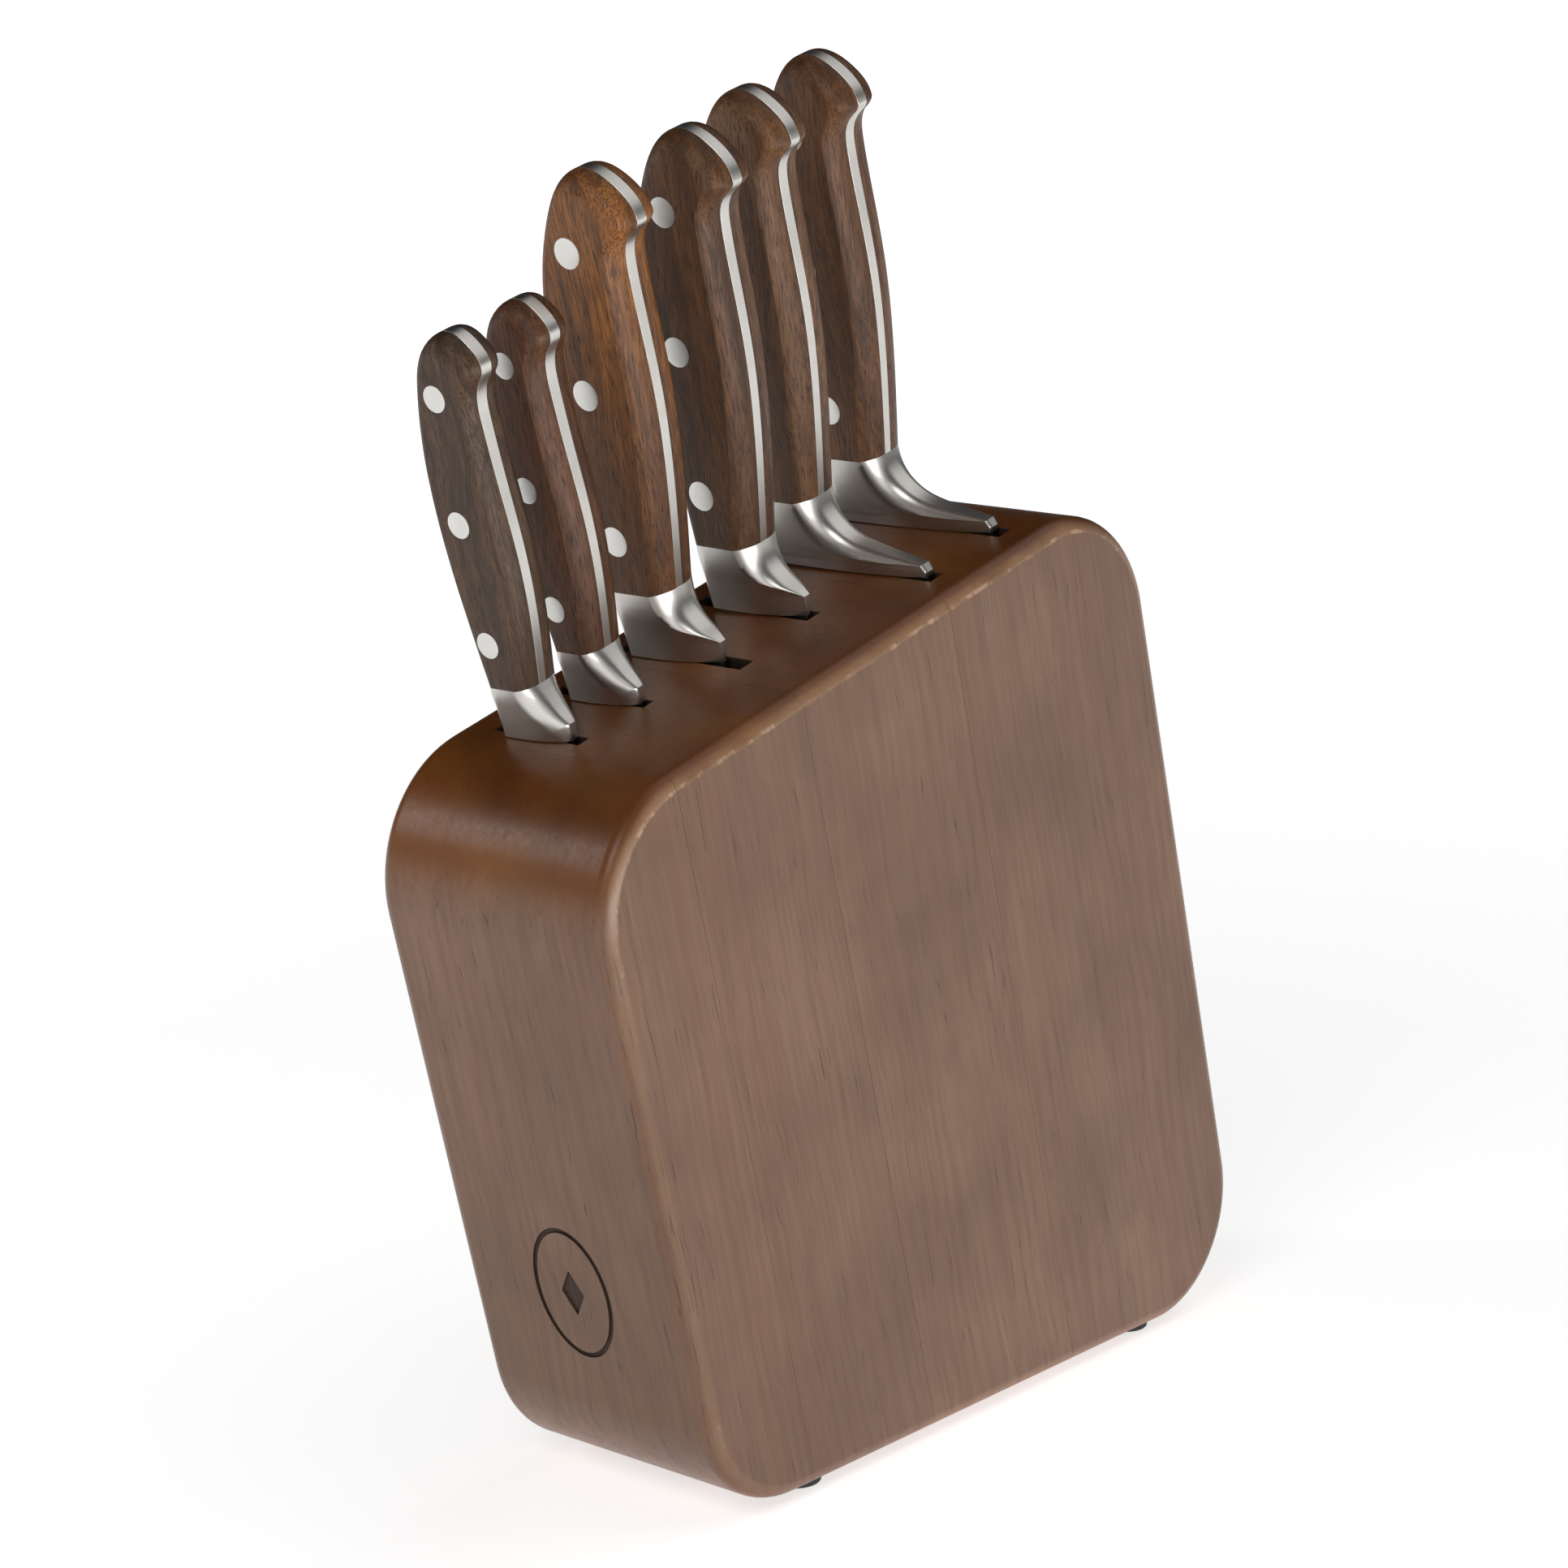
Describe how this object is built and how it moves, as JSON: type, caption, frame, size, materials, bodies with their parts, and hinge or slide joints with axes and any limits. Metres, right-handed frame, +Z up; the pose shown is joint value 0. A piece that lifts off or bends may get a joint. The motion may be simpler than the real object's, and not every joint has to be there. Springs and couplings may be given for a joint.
{
  "type": "knife block with knives",
  "caption": "Slanted laminated wooden knife block with rounded corners and rubber feet, holding forged full-tang kitchen knives whose handles have wooden scales and steel rivets.",
  "frame": {"origin": "on the floor, under the middle of the bounding box of the block with its knives in their slots", "axes": "+X across the block, the way the knives' edges face; +Y from the front face to the back; +Z up"},
  "size_m": [0.08, 0.2835, 0.3837],
  "materials": {
    "block_wood": "dark walnut stain, satin lacquer",
    "handle_wood": "oiled walnut",
    "knife_steel": "satin ground forged steel",
    "rivet_steel": "satin, ground flush",
    "foot_rubber": "matt black"
  },
  "bodies": {
    "block": {"back_plank": "block_wood", "front_left_foot": "foot_rubber", "front_plank": "block_wood", "front_right_foot": "foot_rubber", "inner_plank_1": "block_wood", "inner_plank_2": "block_wood", "inner_plank_3": "block_wood", "inner_plank_4": "block_wood", "inner_plank_5": "block_wood", "inner_plank_6": "block_wood", "inner_plank_7": "block_wood", "inner_plank_8": "block_wood", "rear_left_foot": "foot_rubber", "rear_right_foot": "foot_rubber", "slot_1_spacers": "block_wood", "slot_2_spacers": "block_wood", "slot_3_spacers": "block_wood", "slot_4_spacers": "block_wood", "slot_5_spacers": "block_wood", "slot_6_spacers": "block_wood"},
    "paring_knife": {"paring_blade": "knife_steel", "paring_front_scale": "handle_wood", "paring_rear_scale": "handle_wood", "paring_rivets": "rivet_steel"},
    "utility_knife": {"utility_blade": "knife_steel", "utility_front_scale": "handle_wood", "utility_rear_scale": "handle_wood", "utility_rivets": "rivet_steel"},
    "carving_knife": {"carving_blade": "knife_steel", "carving_front_scale": "handle_wood", "carving_rear_scale": "handle_wood", "carving_rivets": "rivet_steel"},
    "bread_knife": {"bread_blade": "knife_steel", "bread_front_scale": "handle_wood", "bread_rear_scale": "handle_wood", "bread_rivets": "rivet_steel"},
    "santoku_knife": {"santoku_blade": "knife_steel", "santoku_front_scale": "handle_wood", "santoku_rear_scale": "handle_wood", "santoku_rivets": "rivet_steel"},
    "chef_knife": {"chef_blade": "knife_steel", "chef_front_scale": "handle_wood", "chef_rear_scale": "handle_wood", "chef_rivets": "rivet_steel"}
  },
  "joints": [
    {"name": "paring_knife_draw", "type": "slide", "parent": "block", "child": "paring_knife", "axis": [0, -0.2645, 0.9644], "range_m": [0, 0.102]},
    {"name": "utility_knife_draw", "type": "slide", "parent": "block", "child": "utility_knife", "axis": [0, -0.2645, 0.9644], "range_m": [0, 0.142]},
    {"name": "carving_knife_draw", "type": "slide", "parent": "block", "child": "carving_knife", "axis": [0, -0.2645, 0.9644], "range_m": [0, 0.215]},
    {"name": "bread_knife_draw", "type": "slide", "parent": "block", "child": "bread_knife", "axis": [0, -0.2645, 0.9644], "range_m": [0, 0.215]},
    {"name": "santoku_knife_draw", "type": "slide", "parent": "block", "child": "santoku_knife", "axis": [0, -0.2645, 0.9644], "range_m": [0, 0.192]},
    {"name": "chef_knife_draw", "type": "slide", "parent": "block", "child": "chef_knife", "axis": [0, -0.2645, 0.9644], "range_m": [0, 0.215]}
  ]
}
